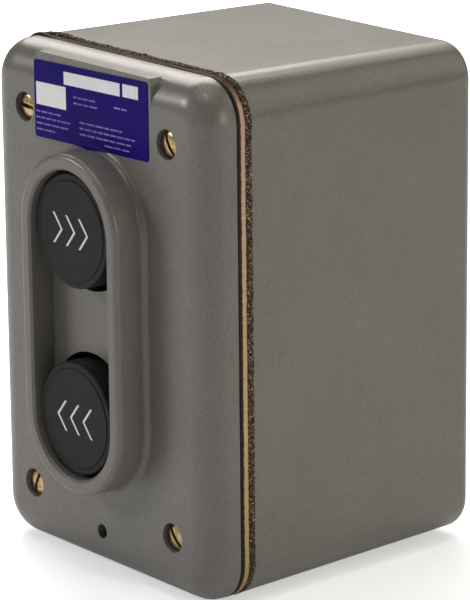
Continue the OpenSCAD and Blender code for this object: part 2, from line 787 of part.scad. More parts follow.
// A coil spring between two seats
module coil_spring(z, d, wire, y0, y1, turns) {
    seat = wire / 2 + slide_gap;
    rows = coil_rows(d / 2, wire, y0 + seat, y1 - y0 - 2 * seat, turns);
    n = len(rows);
    points = [for (row = rows, p = row) p];
    sides = [for (i = [0:n - 2], k = [0:coil_sides - 1]) let (m = (k + 1) % coil_sides)
        [i * coil_sides + k, (i + 1) * coil_sides + k, (i + 1) * coil_sides + m, i * coil_sides + m]];
    ends = [[for (k = [0:coil_sides - 1]) k], [for (k = [coil_sides - 1:-1:0]) (n - 1) * coil_sides + k]];
    translate([0, 0, z]) polyhedron(points = points, faces = concat(sides, ends), convexity = turns * 2);
}

// Least gap of each coil to itself: its pitch less its wire
echo(return_coil_gap = (return_end_y - return_start_y - return_wire) / return_turns - return_wire);
echo(contact_coil_gap = (bridge_y - sleeve_end_y - contact_wire) / contact_turns - contact_wire);

module return_spring(z) color("#9a9da0")
    coil_spring(z, return_d, return_wire, return_start_y, return_end_y, return_turns);

module contact_spring(z) color("#9a9da0")
    coil_spring(z, contact_spring_d, contact_wire, sleeve_end_y, bridge_y, contact_turns);

// The square clamps under the terminal screws
module wire_clamps(z) color("#c9c4b4") {
    for (s = [-1, 1], t = [[closed_screw_x, tier_one_y + strip_t], [open_screw_x, tier_two_y + strip_t]])
        difference() {
            bar(s * t[0], z, clamp_side, clamp_side, t[1], t[1] + clamp_t);
            rod(s * t[0], z, t[1] - over, t[1] + clamp_t + over, terminal_r + slot_gap);
        }
}

// The four terminal screws of a block
module terminal_screws(z) color("#c9b26a") {
    for (s = [-1, 1], t = [[closed_screw_x, tier_one_y], [open_screw_x, tier_two_y]]) {
        seat_y = t[1] + strip_t + clamp_t;
        slotted_head(s * t[0], z, seat_y, terminal_head_r, terminal_head_t, head_dome,
            terminal_turn_deg * s, 1);
        rod(s * t[0], z, t[1] - terminal_len + strip_t + slot_gap, seat_y, terminal_r);
    }
}

// The two long screws that hold a block to the plate
module block_screws(z) color("#8d8f92") {
    for (s = [-1, 1]) {
        slotted_head(0, z + s * block_screw_z, cap_y, block_head_r, block_head_t, head_dome,
            block_turn_deg * s, 1);
        rod(0, z + s * block_screw_z, plate_y + slot_gap, cap_y, block_screw_r);
    }
}

enclosure_box();
front_cover();
rating_plate();
rubber_sheet();
mounting_plate();
cork_gasket();
cover_screws();
ground_screw();
boot(forward_z);  // boot_forward
boot(reverse_z);  // boot_reverse
bushing(forward_z);  // bushing_forward
bushing(reverse_z);  // bushing_reverse
return_spring(forward_z);  // return_spring_forward
return_spring(reverse_z);  // return_spring_reverse
button(forward_z);  // button_forward
button(reverse_z);  // button_reverse
stem_clip(forward_z);  // stem_clip_forward
stem_clip(reverse_z);  // stem_clip_reverse
plunger(forward_z);  // plunger_forward
plunger(reverse_z);  // plunger_reverse
plunger_ring(forward_z);  // plunger_ring_forward
plunger_ring(reverse_z);  // plunger_ring_reverse
block_housing(forward_z);  // block_housing_forward
block_housing(reverse_z);  // block_housing_reverse
block_cap(forward_z);  // block_cap_forward
block_cap(reverse_z);  // block_cap_reverse
contact_pair(forward_z, tier_one_y, closed_end_x, closed_screw_x, closed_tip_y);  // closed_contacts_forward
contact_pair(reverse_z, tier_one_y, closed_end_x, closed_screw_x, closed_tip_y);  // closed_contacts_reverse
contact_pair(forward_z, tier_two_y, open_end_x, open_screw_x, open_tip_y);  // open_contacts_forward
contact_pair(reverse_z, tier_two_y, open_end_x, open_screw_x, open_tip_y);  // open_contacts_reverse
contact_bridge(forward_z);  // contact_bridge_forward
contact_bridge(reverse_z);  // contact_bridge_reverse
contact_spring(forward_z);  // contact_spring_forward
contact_spring(reverse_z);  // contact_spring_reverse
wire_clamps(forward_z);  // wire_clamps_forward
wire_clamps(reverse_z);  // wire_clamps_reverse
terminal_screws(forward_z);  // terminal_screws_forward
terminal_screws(reverse_z);  // terminal_screws_reverse
block_screws(forward_z);  // block_screws_forward
block_screws(reverse_z);  // block_screws_reverse
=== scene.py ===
# %% [markdown]
# # A guarded two-button control station
#
# The real object is a heavy wall box: a drafted casting behind, a cast cover in front, and between them
# a rubber sheet, a plated steel plate and a cork gasket whose edges all show. Two black buttons sit in a
# tall guard ring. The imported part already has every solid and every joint, in metres and in its final
# place, so this lesson adds what a solid can't carry: soft cast edges, paint, ragged cork, real finishes
# and studio light.

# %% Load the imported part
import bpy
import bmesh
import json
import math
import random
from mathutils import Matrix, Vector, noise
from mathutils.bvhtree import BVHTree
from mathutils.geometry import convex_hull_2d

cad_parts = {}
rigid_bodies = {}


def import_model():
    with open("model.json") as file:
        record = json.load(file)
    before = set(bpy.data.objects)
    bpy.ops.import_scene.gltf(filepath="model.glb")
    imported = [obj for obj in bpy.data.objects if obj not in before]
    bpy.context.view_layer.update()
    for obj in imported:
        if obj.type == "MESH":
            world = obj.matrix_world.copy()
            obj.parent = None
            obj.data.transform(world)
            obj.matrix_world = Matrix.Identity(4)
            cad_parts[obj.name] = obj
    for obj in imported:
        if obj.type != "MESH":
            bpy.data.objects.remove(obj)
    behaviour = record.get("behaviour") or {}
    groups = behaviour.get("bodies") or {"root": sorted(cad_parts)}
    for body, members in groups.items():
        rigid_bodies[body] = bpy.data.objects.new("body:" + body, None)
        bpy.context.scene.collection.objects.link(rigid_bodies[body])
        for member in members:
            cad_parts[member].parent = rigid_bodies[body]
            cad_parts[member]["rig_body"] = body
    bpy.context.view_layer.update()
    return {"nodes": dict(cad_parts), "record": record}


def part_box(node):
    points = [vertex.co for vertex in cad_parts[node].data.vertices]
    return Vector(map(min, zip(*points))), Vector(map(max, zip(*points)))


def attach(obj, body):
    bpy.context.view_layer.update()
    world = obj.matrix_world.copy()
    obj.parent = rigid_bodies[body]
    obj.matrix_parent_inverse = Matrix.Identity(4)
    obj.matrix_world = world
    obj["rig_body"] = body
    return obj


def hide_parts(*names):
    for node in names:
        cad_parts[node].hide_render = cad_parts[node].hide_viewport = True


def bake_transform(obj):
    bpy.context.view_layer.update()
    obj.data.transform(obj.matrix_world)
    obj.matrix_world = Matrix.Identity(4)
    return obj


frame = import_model()
nodes = frame["nodes"]

# %% [markdown]
# Places come from the part itself. The depth runs along Y, from the buttons (low Y) to the wall, so the
# front face, the gasket levels and the button centres are read from the boxes of the nodes. If the part
# changes, the pieces made here move with it.

# %% Read the places that the pieces are built on
MM = 0.001


def low(node):
    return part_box(node)[0]


def high(node):
    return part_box(node)[1]


def middle(node):
    return (low(node) + high(node)) / 2


FACE_Y = high("rating_plate").y
WAYS = ("forward", "reverse")
BUTTON = {way: middle("button_" + way) for way in WAYS}
print("face at", round(FACE_Y / MM, 2), "mm, buttons at", [round(BUTTON[w].z / MM, 2) for w in WAYS])

# %% [markdown]
# ## Finishes as small node trees
#
# Every finish is procedural: noise decides where the colour drifts, where the gloss changes and where
# the surface rises by a few hundredths of a millimetre. Image textures would also work, but noise on
# Object coordinates needs no unwrapping and keeps its scale in millimetres on every piece. One short
# helper adds a node and accepts either numbers or another node's output for its inputs.

# %% Helpers for node trees
def put(tree, kind, inputs=None, **settings):
    node = tree.nodes.new("ShaderNode" + kind)
    for key, value in settings.items():
        setattr(node, key, value)
    for key, value in (inputs or {}).items():
        if isinstance(value, bpy.types.NodeSocket):
            tree.links.new(value, node.inputs[key])
        else:
            node.inputs[key].default_value = value
    return node


def srgb(red, green, blue):
    """A colour as seen in a picture, from 0 to 255, as the linear colour that a shader takes."""
    def linear(value):
        value /= 255
        return value / 12.92 if value <= 0.04045 else ((value + 0.055) / 1.055) ** 2.4
    return linear(red), linear(green), linear(blue)


def ramp(tree, factor, stops):
    node = put(tree, "ValToRGB", {"Fac": factor})
    elements = node.color_ramp.elements
    elements.remove(elements[-1])
    elements[0].position, elements[0].color = stops[0][0], (*stops[0][1], 1)
    for place, colour in stops[1:]:
        elements.new(place).color = (*colour, 1)
    return node.outputs["Color"]


def cloud(tree, where, size_mm, detail=3.0, rough=0.55, twist=0.0):
    """Noise whose blotches are about size_mm wide."""
    node = put(tree, "TexNoise", {"Vector": where, "Scale": 1 / (size_mm * MM), "Detail": detail,
                                  "Roughness": rough, "Distortion": twist})
    return node.outputs["Fac"]


def between(tree, value, low_out, high_out, low_in=0.3, high_in=0.7):
    node = put(tree, "MapRange", {"Value": value, "From Min": low_in, "From Max": high_in,
                                  "To Min": low_out, "To Max": high_out})
    return node.outputs["Result"]


def calc(tree, operation, a, b=0.0):
    """The result of one Math node."""
    return put(tree, "Math", {0: a, 1: b}, operation=operation).outputs["Value"]


def relief(tree, shader, layers):
    """Bump layers, each a height from 0 to 1 and how deep it is in metres."""
    normal = None
    for height, depth in layers:
        node = put(tree, "Bump", {"Height": height, "Distance": depth, "Strength": 1.0})
        if normal is not None:
            tree.links.new(normal, node.inputs["Normal"])
        normal = node.outputs["Normal"]
    tree.links.new(normal, shader.inputs["Normal"])


def start(name, **sockets):
    """A new material, its tree, its shader and its Object coordinates."""
    material = bpy.data.materials.new(name)
    material.use_nodes = True
    tree = material.node_tree
    shader = tree.nodes["Principled BSDF"]
    for key, value in sockets.items():
        shader.inputs[key.replace("_", " ")].default_value = value
    where = put(tree, "TexCoord").outputs["Object"]
    return material, tree, shader, where


# %% [markdown]
# ## The gray enamel
#
# The castings are sprayed with a semi-gloss gray enamel over a fairly smooth casting. Close up it has
# three scales: slow waves in the metal a few millimetres long, the orange peel of the paint at about one
# millimetre, and a fine grain. The waves break up the highlights on the rounded edges, and the colour
# drifts by a few per cent. A thin, smoother coat on top draws the crisp bright lines on the rounded rims.
# Painted maps or a displaced mesh could do the same, but three bump layers do it with no extra triangles.

# %% Gray enamel
def make_enamel(name, dark, light):
    material, tree, shader, where = start(name, IOR=1.5, Coat_Weight=0.1, Coat_Roughness=0.15)
    drift = cloud(tree, where, 26, 4)
    colour = ramp(tree, drift, [(0.3, dark), (0.7, light)])
    speck = ramp(tree, cloud(tree, where, 0.55, 2), [(0.3, (0.84, 0.84, 0.84)), (0.7, (1.14, 1.14, 1.14))])
    mixed = put(tree, "Mix", data_type="RGBA", blend_type="MULTIPLY")
    mixed.inputs["Factor"].default_value = 1.0
    tree.links.new(colour, mixed.inputs["A"])
    tree.links.new(speck, mixed.inputs["B"])
    tree.links.new(mixed.outputs["Result"], shader.inputs["Base Color"])
    tree.links.new(between(tree, cloud(tree, where, 14, 1), 0.32, 0.38, 0.1, 0.9), shader.inputs["Roughness"])
    relief(tree, shader, [(cloud(tree, where, 7, 2), 0.0001), (cloud(tree, where, 1.1, 3), 0.00005),
                          (cloud(tree, where, 0.35, 2), 0.00003)])
    return material


ENAMEL = make_enamel("gray_paint", (0.143, 0.135, 0.123), (0.162, 0.1535, 0.140))
print("made", ENAMEL.name)

# %% [markdown]
# ## Softened copies of the castings
#
# A CAD node's mesh is loose triangles with knife edges, and paint never leaves an edge that sharp. The
# node itself isn't changed. A copy is merged, its flat triangles are dissolved into whole faces, and its
# edges get a small bevel, after which the copy stands for the node. Remeshing in voxels would round the
# edges too, but it would cost far more triangles for a flat wall.

# %% A copy of a node with merged points and softened edges
def keep(name, mesh, *materials):
    thing = bpy.data.objects.new(name, mesh)
    bpy.context.scene.collection.objects.link(thing)
    for material in materials:
        mesh.materials.append(material)
    return thing


def merged(node):
    """The node's solid as a bmesh of whole, connected faces."""
    source = nodes[node].data
    mesh = bpy.data.meshes.new(node + "_copy")
    mesh.from_pydata([v.co for v in source.vertices], [], [tuple(p.vertices) for p in source.polygons])
    shape = bmesh.new()
    shape.from_mesh(mesh)
    bpy.data.meshes.remove(mesh)
    bmesh.ops.remove_doubles(shape, verts=shape.verts, dist=0.000002)
    bmesh.ops.dissolve_degenerate(shape, edges=shape.edges, dist=0.000001)
    bmesh.ops.dissolve_limit(shape, angle_limit=math.radians(0.4), verts=shape.verts, edges=shape.edges)
    bmesh.ops.recalc_face_normals(shape, faces=shape.faces)
    return shape


def settle(thing):
    """Turns a piece's modifiers into plain mesh."""
    graph = bpy.context.evaluated_depsgraph_get()
    mesh = bpy.data.meshes.new_from_object(thing.evaluated_get(graph))
    old = thing.data
    thing.modifiers.clear()
    thing.data = mesh
    bpy.data.meshes.remove(old)
    return thing


def soften(node, name, width, *materials, steps=2, angle=28):
    shape = merged(node)
    mesh = bpy.data.meshes.new(name)
    shape.to_mesh(mesh)
    shape.free()
    thing = keep(name, mesh, *materials)
    edge = thing.modifiers.new("edge", "BEVEL")
    edge.width, edge.segments, edge.limit_method = width, steps, "ANGLE"
    edge.angle_limit = math.radians(angle)
    edge.use_clamp_overlap = True
    mesh.shade_smooth()
    even = thing.modifiers.new("even", "WEIGHTED_NORMAL")
    even.weight, even.keep_sharp = 60, False
    settle(thing)
    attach(thing, nodes[node]["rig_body"])
    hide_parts(node)
    print(name, len(thing.data.polygons), "faces")
    return thing


cover = soften("front_cover", "cast_cover", 0.0006, ENAMEL, steps=3)
box = soften("enclosure_box", "cast_box", 0.0004, ENAMEL)

# %% [markdown]
# ## Sheets with a worked edge
#
# Rubber, plate and cork are flat sheets whose outer edge is all that shows. A knife-edged solid looks
# like a printed line there, so the rubber and the cork are built again: the loops round the flat face of
# the CAD solid are read, the outer loop is cut into short steps, and each point may stray in or out.
# The holes keep the solid's own loops, so the screws and the boots still pass through them.

# %% Read the loops of a flat sheet
def flat_loops(node, y):
    """Loops round the node's flat face at depth y, as lists of (x, z), the longest first."""
    shape = merged(node)
    onto = {}
    for edge in shape.edges:
        a, b = edge.verts
        if abs(a.co.y - y) > 0.00001 or abs(b.co.y - y) > 0.00001:
            continue
        flat = sum(all(abs(v.co.y - y) < 0.00001 for v in face.verts) for face in edge.link_faces)
        if flat == 1:
            onto.setdefault(a, []).append(b)
            onto.setdefault(b, []).append(a)
    loops, seen = [], set()
    for first in onto:
        if first in seen:
            continue
        loop, here, last = [], first, None
        while here is not None and here not in seen:
            seen.add(here)
            loop.append((here.co.x, here.co.z))
            following = [v for v in onto[here] if v is not last and v not in seen]
            last, here = here, following[0] if following else None
        loops.append(loop)
    shape.free()
    loops = [loop if turning(loop) > 0 else loop[::-1] for loop in loops]
    return sorted(loops, key=lambda loop: -abs(turning(loop)))


def turning(loop):
    """The loop's area, positive where it runs from +X towards +Z."""
    return sum(a[0] * b[1] - b[0] * a[1] for a, b in zip(loop, loop[1:] + loop[:1])) / 2


def resample(loop, step):
    """The same closed loop in equal steps."""
    closed = [Vector(p) for p in loop + loop[:1]]
    lengths = [(b - a).length for a, b in zip(closed, closed[1:])]
    total = sum(lengths)
    count = round(total / step)
    points, k, done = [], 0, 0.0
    for i in range(count):
        target = total * i / count
        while done + lengths[k] < target:
            done += lengths[k]
            k += 1
        points.append(closed[k].lerp(closed[k + 1], (target - done) / lengths[k]))
    return points


print("cork loops:", [len(loop) for loop in flat_loops("cork_gasket", low("cork_gasket").y)])

# %% [markdown]
# The wall of the sheet is a grid, with several rows through its thickness, because torn cork is ragged
# in both directions. Each flat side is one filled outline with holes.

# %% Build a sheet with a worked edge
def edged_sheet(node, name, step, rows, stray, *materials):
    """stray(x, y, z, share) says how far a point of the edge moves outwards; share runs 0 to 1 through it."""
    y0, y1 = low(node).y, high(node).y
    loops = flat_loops(node, y0)
    outer = resample(loops[0], step)
    count = len(outer)
    shape = bmesh.new()

    def out(i):
        along = outer[(i + 1) % count] - outer[i - 1]
        return Vector((along.y, -along.x)).normalized()

    def walls(rings, inward):
        for one, two in zip(rings, rings[1:]):
            for i in range(len(one)):
                j = (i + 1) % len(one)
                face = (one[i], one[j], two[j], two[i])
                shape.faces.new(face[::-1] if inward else face)

    grid = []
    for row in range(rows + 1):
        share = row / rows
        y = y0 + (y1 - y0) * share
        ring = []
        for i, p in enumerate(outer):
            q = p + out(i) * stray(p.x, y, p.y, share)
            ring.append(shape.verts.new((q.x, y, q.y)))
        grid.append(ring)
    walls(grid, False)
    fronts, backs = [grid[0]], [grid[-1]]
    for hole in loops[1:]:
        rings = [[shape.verts.new((x, y, z)) for x, z in hole] for y in (y0, y1)]
        walls(rings, True)
        fronts.append(rings[0])
        backs.append(rings[1])
    for sides in (fronts, backs):
        edges = [shape.edges.get((ring[i - 1], ring[i])) for ring in sides for i in range(len(ring))]
        bmesh.ops.triangle_fill(shape, use_beauty=False, use_dissolve=False, edges=edges)
    bmesh.ops.recalc_face_normals(shape, faces=shape.faces)
    mesh = bpy.data.meshes.new(name)
    shape.to_mesh(mesh)
    open_edges = sum(len(edge.link_faces) != 2 for edge in shape.edges)
    shape.free()
    thing = keep(name, mesh, *materials)
    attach(thing, "enclosure")
    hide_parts(node)
    print(name, len(mesh.polygons), "faces,", open_edges, "open edges")
    return thing


# %% [markdown]
# ## Black rubber
#
# The rubber sheet is cut by hand or by a worn die, so its edge wanders by a tenth of a millimetre and
# is pinched thinner by the cover. Rubber is almost black, with a dusty gray bloom on it, so its colour
# and its gloss both drift.

# %% Rubber
def make_rubber(name, dark, light):
    material, tree, shader, where = start(name, IOR=1.45, Specular_IOR_Level=0.2)
    bloom = cloud(tree, where, 2.5, 5, 0.65)
    tree.links.new(ramp(tree, bloom, [(0.35, dark), (0.75, light)]), shader.inputs["Base Color"])
    tree.links.new(between(tree, bloom, 0.5, 0.75), shader.inputs["Roughness"])
    relief(tree, shader, [(cloud(tree, where, 1.1, 3), 0.00004), (cloud(tree, where, 0.2, 2), 0.00001)])
    return material


RUBBER = make_rubber("dusty_rubber", (0.008, 0.007, 0.006), (0.024, 0.020, 0.016))
SHEET_TOP = high("rubber_sheet").z
WANDER, NICKS, PINCH = 0.00012, 0.00006, 0.00012


def bulge(x, z, from_middle, width, height):
    """How far a sheet is squeezed out near the top left corner, where the joint isn't quite closed."""
    away = math.hypot(x + from_middle, z - SHEET_TOP + 0.002)
    return height * math.exp(-(away / width) ** 2)


def rubber_stray(x, y, z, share):
    wander = noise.noise(Vector((x, 0, z)) / (6 * MM)) * WANDER
    nicks = noise.noise(Vector((x, 9, z)) / (1.3 * MM)) * NICKS
    pinch = PINCH * (2 * share - 1) ** 2
    return wander + nicks - pinch + bulge(x, z, from_middle=0.0335, width=0.004, height=0.0007)


rubber = edged_sheet("rubber_sheet", "rubber_gasket", 0.0005, 4, rubber_stray, RUBBER)
rubber.data.shade_smooth()

# %% [markdown]
# ## Cork
#
# The gasket is granulated cork in a dark binder. Where it stands out of the joint it is torn and
# crumbly: dark brown and black, with small cream and tan grains. The torn edge is noise at three scales
# on the wall's grid. The grains are separate little stones scattered over the wall by Geometry Nodes,
# because a painted speckle would leave the outline smooth.

# %% Cork body
def make_cork(name, stops, size_mm):
    material, tree, shader, where = start(name, IOR=1.4)
    cells = put(tree, "TexVoronoi", {"Vector": where, "Scale": 1 / (size_mm * MM), "Randomness": 1.0})
    tone = put(tree, "SeparateColor", {"Color": cells.outputs["Color"]}).outputs["Red"]
    tree.links.new(ramp(tree, tone, stops), shader.inputs["Base Color"])
    tree.links.new(between(tree, tone, 0.72, 0.95, 0, 1), shader.inputs["Roughness"])
    relief(tree, shader, [(cells.outputs["Distance"], 0.00012), (cloud(tree, where, 0.15, 3), 0.00004)])
    return material


CORK = make_cork("cork_crumb", [(0.0, (0.010, 0.008, 0.005)), (0.45, (0.030, 0.021, 0.011)),
                                (0.72, (0.075, 0.053, 0.028)), (0.9, (0.20, 0.15, 0.085)),
                                (1.0, (0.42, 0.36, 0.22))], 0.36)
LUMPS, TEARS, CRUMBS = 0.00022, 0.00024, 0.00010
SET_BACK, ROUNDED = 0.00022, 0.00012


def cork_stray(x, y, z, share):
    p = Vector((x, y, z))
    lumps = noise.noise(p / (2.6 * MM)) * LUMPS
    tears = noise.noise(p / (0.9 * MM)) * TEARS
    crumbs = noise.noise(p / (0.4 * MM)) * CRUMBS
    rounded = ROUNDED * (2 * share - 1) ** 2
    swelling = bulge(x, z, from_middle=0.028, width=0.006, height=0.0004)
    return lumps + tears + crumbs - SET_BACK - rounded + swelling


cork = edged_sheet("cork_gasket", "cork_body", 0.0003, 6, cork_stray, CORK)

# %% [markdown]
# The grains: a Geometry Nodes tree scatters points over a copy of the torn wall, puts a small, squashed
# ico sphere on each, turns and sizes it at random, and gives all of them one material. Two runs with
# different seeds make the pale grains and the dark ones.

# %% Scatter grains on a wall
def grain_tree():
    tree = bpy.data.node_groups.new("grains", "GeometryNodeTree")
    face = tree.interface
    face.new_socket("Geometry", in_out="INPUT", socket_type="NodeSocketGeometry")
    for name, kind in (("Density", "NodeSocketFloat"), ("Grain size", "NodeSocketFloat"),
                       ("Seed", "NodeSocketInt"), ("Finish", "NodeSocketMaterial")):
        face.new_socket(name, in_out="INPUT", socket_type=kind)
    face.new_socket("Geometry", in_out="OUTPUT", socket_type="NodeSocketGeometry")

    def add(kind, inputs=None, **settings):
        node = tree.nodes.new(kind)
        for key, value in settings.items():
            setattr(node, key, value)
        for key, value in (inputs or {}).items():
            if isinstance(value, bpy.types.NodeSocket):
                tree.links.new(value, node.inputs[key])
            else:
                node.inputs[key].default_value = value
        return node

    given = add("NodeGroupInput").outputs
    spread = add("GeometryNodeDistributePointsOnFaces",
                 {"Mesh": given["Geometry"], "Density": given["Density"], "Seed": given["Seed"]})
    stone = add("GeometryNodeMeshIcoSphere", {"Radius": 1.0, "Subdivisions": 1})
    turn = add("FunctionNodeRandomValue", {0: (0, 0, 0), 1: (6.3, 6.3, 6.3), "Seed": given["Seed"]},
               data_type="FLOAT_VECTOR")
    shape = add("FunctionNodeRandomValue", {0: (0.6, 0.35, 0.5), 1: (1.3, 0.9, 1.1), "Seed": given["Seed"]},
                data_type="FLOAT_VECTOR")
    size = add("ShaderNodeVectorMath", {0: shape.outputs[0]}, operation="SCALE")
    tree.links.new(given["Grain size"], size.inputs["Scale"])
    put_on = add("GeometryNodeInstanceOnPoints",
                 {"Points": spread.outputs["Points"], "Instance": stone.outputs["Mesh"],
                  "Rotation": turn.outputs[0], "Scale": size.outputs[0]})
    real = add("GeometryNodeRealizeInstances", {"Geometry": put_on.outputs["Instances"]})
    painted = add("GeometryNodeSetMaterial",
                  {"Geometry": real.outputs["Geometry"], "Material": given["Finish"]})
    tree.links.new(painted.outputs["Geometry"], add("NodeGroupOutput").inputs["Geometry"])
    return tree


def run_nodes(thing, tree, values):
    """Runs a node tree on a piece with values for its named inputs, and keeps the plain mesh."""
    modifier = thing.modifiers.new(tree.name, "NODES")
    modifier.node_group = tree
    for item in tree.interface.items_tree:
        if item.in_out == "INPUT" and item.name in values:
            modifier[item.identifier] = values[item.name]
    return settle(thing)


def outer_wall(thing, name, beyond):
    """A copy of the faces of a sheet's outer wall, where beyond(point) isn't negative."""
    shape = bmesh.new()
    shape.from_mesh(thing.data)
    flat = [f for f in shape.faces if abs(f.normal.y) > 0.9 or beyond(f.calc_center_median()) < 0]
    bmesh.ops.delete(shape, geom=flat, context="FACES")
    mesh = bpy.data.meshes.new(name)
    shape.to_mesh(mesh)
    shape.free()
    return keep(name, mesh)


PALE_GRAIN = make_cork("cork_pale", [(0.0, (0.16, 0.12, 0.07)), (0.5, (0.34, 0.27, 0.17)),
                                     (1.0, (0.60, 0.52, 0.38))], 0.9)
DARK_GRAIN = make_cork("cork_dark", [(0.0, (0.006, 0.005, 0.004)), (0.7, (0.030, 0.022, 0.012)),
                                     (1.0, (0.08, 0.06, 0.03))], 0.9)
HALF_WIDTH, MIDDLE_Z = high("front_cover").x, high("front_cover").z / 2
INSIDE, CORNER = 0.0012, 0.0105


def past_line(p):
    """How far a point lies outside a line drawn a little inside the castings' outline."""
    over_x, over_z = abs(p.x) - HALF_WIDTH, abs(p.z - MIDDLE_Z) - MIDDLE_Z
    round_corner = math.hypot(max(over_x + CORNER, 0), max(over_z + CORNER, 0)) - (CORNER - INSIDE)
    return max(over_x + INSIDE, over_z + INSIDE, round_corner)


grains = grain_tree()
for name, finish, density, size, seed in (("cork_pale_grains", PALE_GRAIN, 1.9e6, 0.00014, 11),
                                          ("cork_dark_grains", DARK_GRAIN, 2.8e6, 0.00019, 5)):
    piece = outer_wall(cork, name, past_line)
    run_nodes(piece, grains, {"Density": density, "Grain size": size, "Seed": seed, "Finish": finish})
    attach(piece, "enclosure")
    print(name, len(piece.data.polygons), "faces")

# %% [markdown]
# ## Plated metal
#
# Yellow chromate over zinc isn't one colour: thin areas turn pink or straw, thick ones gold, and it
# clouds over where fingers have been. One function makes all the metals here. Its colour wanders between
# the given tints in clouds of a few millimetres, fine scratches change the gloss, and the bump is the
# grain of rolled or turned metal. The tint can also drift from one end of a piece to the other.

# %% Metals
def make_metal(name, tints, gloss, cloud_mm=4.0, grain=(1, 1, 1), grain_mm=0.25, depth=0.000006, drift=None):
    material, tree, shader, where = start(name, Metallic=1.0)
    tone = cloud(tree, where, cloud_mm, 4, 0.6)
    if drift is not None:
        z = put(tree, "SeparateXYZ", {"Vector": where}).outputs["Z"]
        along = between(tree, z, 0, 1, drift[0], drift[1])
        tone = put(tree, "Mix", {"Factor": 0.25, "A": along, "B": tone}, data_type="FLOAT").outputs["Result"]
    first, last = (0.25, 0.75) if drift is None else (0.1, 0.9)
    stops = [(first + (last - first) * k / (len(tints) - 1), tint) for k, tint in enumerate(tints)]
    tree.links.new(ramp(tree, tone, stops), shader.inputs["Base Color"])
    stretched = put(tree, "Mapping", {"Vector": where, "Scale": grain}).outputs["Vector"]
    lines = cloud(tree, stretched, grain_mm, 3, 0.6)
    tree.links.new(between(tree, lines, gloss[0], gloss[1]), shader.inputs["Roughness"])
    relief(tree, shader, [(lines, depth)])
    return material


PLATE_EDGE = make_metal("pink_plating_and_shade", [srgb(190, 166, 108), srgb(190, 162, 124), srgb(188, 156, 140)],
                        (0.42, 0.6), cloud_mm=9, grain=(1, 0.15, 1), grain_mm=0.3, depth=0.00002,
                        drift=(-0.01, 0.12))
GOLD = make_metal("gold_plating", [srgb(128, 104, 62), srgb(178, 154, 100), srgb(206, 184, 140),
                                   srgb(188, 148, 128)], (0.22, 0.42), cloud_mm=1.4, depth=0.000008)
ZINC = make_metal("bright_zinc", [(0.50, 0.52, 0.54), (0.62, 0.63, 0.63)], (0.25, 0.45))
WIRE = make_metal("drawn_wire", [(0.46, 0.47, 0.48), (0.58, 0.58, 0.57)], (0.25, 0.4), cloud_mm=2)
BRASS = make_metal("turned_brass", [srgb(190, 158, 98), srgb(212, 182, 120)], (0.22, 0.4), grain=(1, 6, 1))
COPPER = make_metal("contact_copper_strip", [srgb(190, 118, 84), srgb(214, 150, 110)], (0.25, 0.45),
                    cloud_mm=3)
SILVER = make_metal("silver_tip", [(0.72, 0.71, 0.69), (0.86, 0.85, 0.83)], (0.25, 0.4), cloud_mm=1)
GREEN = make_metal("green_dye", [(0.03, 0.16, 0.06), (0.05, 0.24, 0.09)], (0.3, 0.5), cloud_mm=2)

# %% [markdown]
# ## Mouldings
#
# The button heads, blocks and caps are moulded plastic. Phenolic has a fine matte grain and a faint
# mottle from its filler; nylon is smoother and slightly see-through, so the plungers get a little light
# under the skin.

# %% Moulded plastics
def make_moulding(name, dark, light, gloss, grain_mm=0.3, depth=0.000012, mottle_mm=3.0, **sockets):
    material, tree, shader, where = start(name, **sockets)
    tree.links.new(ramp(tree, cloud(tree, where, mottle_mm, 5, 0.65), [(0.3, dark), (0.7, light)]),
                   shader.inputs["Base Color"])
    fine = cloud(tree, where, grain_mm, 3, 0.6)
    tree.links.new(between(tree, fine, gloss[0], gloss[1]), shader.inputs["Roughness"])
    relief(tree, shader, [(cloud(tree, where, 5, 2), 0.00002), (fine, depth)])
    return material


PHENOLIC = make_moulding("black_phenolic", (0.0082, 0.0066, 0.0064), (0.0130, 0.0106, 0.0103), (0.5, 0.66),
                         grain_mm=0.22, depth=0.000022, Specular_IOR_Level=0.25)
BLOCK = make_moulding("brown_phenolic", (0.055, 0.030, 0.020), (0.085, 0.048, 0.032), (0.35, 0.5),
                      mottle_mm=1.2)
CAP = make_moulding("tan_phenolic", (0.10, 0.058, 0.038), (0.14, 0.085, 0.058), (0.35, 0.5), mottle_mm=1.2)
NYLON = make_moulding("natural_nylon", (0.60, 0.55, 0.42), (0.68, 0.63, 0.50), (0.3, 0.42), depth=0.000004,
                      Subsurface_Weight=0.2, Subsurface_Scale=0.002)
MARK_PAINT = make_moulding("mark_filling", srgb(214, 210, 208), srgb(228, 225, 222), (0.45, 0.6),
                           depth=0.00001, mottle_mm=0.8)

# %% [markdown]
# ## Finishes for the solids that stay
#
# Most inner parts already have the right shape, so their objects keep their meshes and only get a
# finish. The loop below dresses one kind of part at a time, both ways round. The mounting plate shows only
# its edge, between two dark sheets. Its two rims, next to the rubber and the cork, and its top are painted
# darker as shade: a dark brown layer is mixed over the plating by depth, by height and by noise. The flat
# faces inside the box get none of this painted shade, so the layer is kept off wherever the surface faces
# along Y.

# %% Dress the inner solids
def dress(node, *materials):
    data = nodes[node].data
    data.materials.clear()
    for material in materials:
        data.materials.append(material)


# The dark brown that is mixed over the plate's edge at its rims and top: painted shade.
PAINTED_SHADE_COLOUR = (0.060, 0.036, 0.020, 1)
INNER_FINISHES = (("bushing_", BRASS), ("stem_clip_", ZINC), ("plunger_ring_", ZINC), ("plunger_", NYLON),
                  ("wire_clamps_", GOLD), ("terminal_screws_", GOLD), ("block_screws_", ZINC))


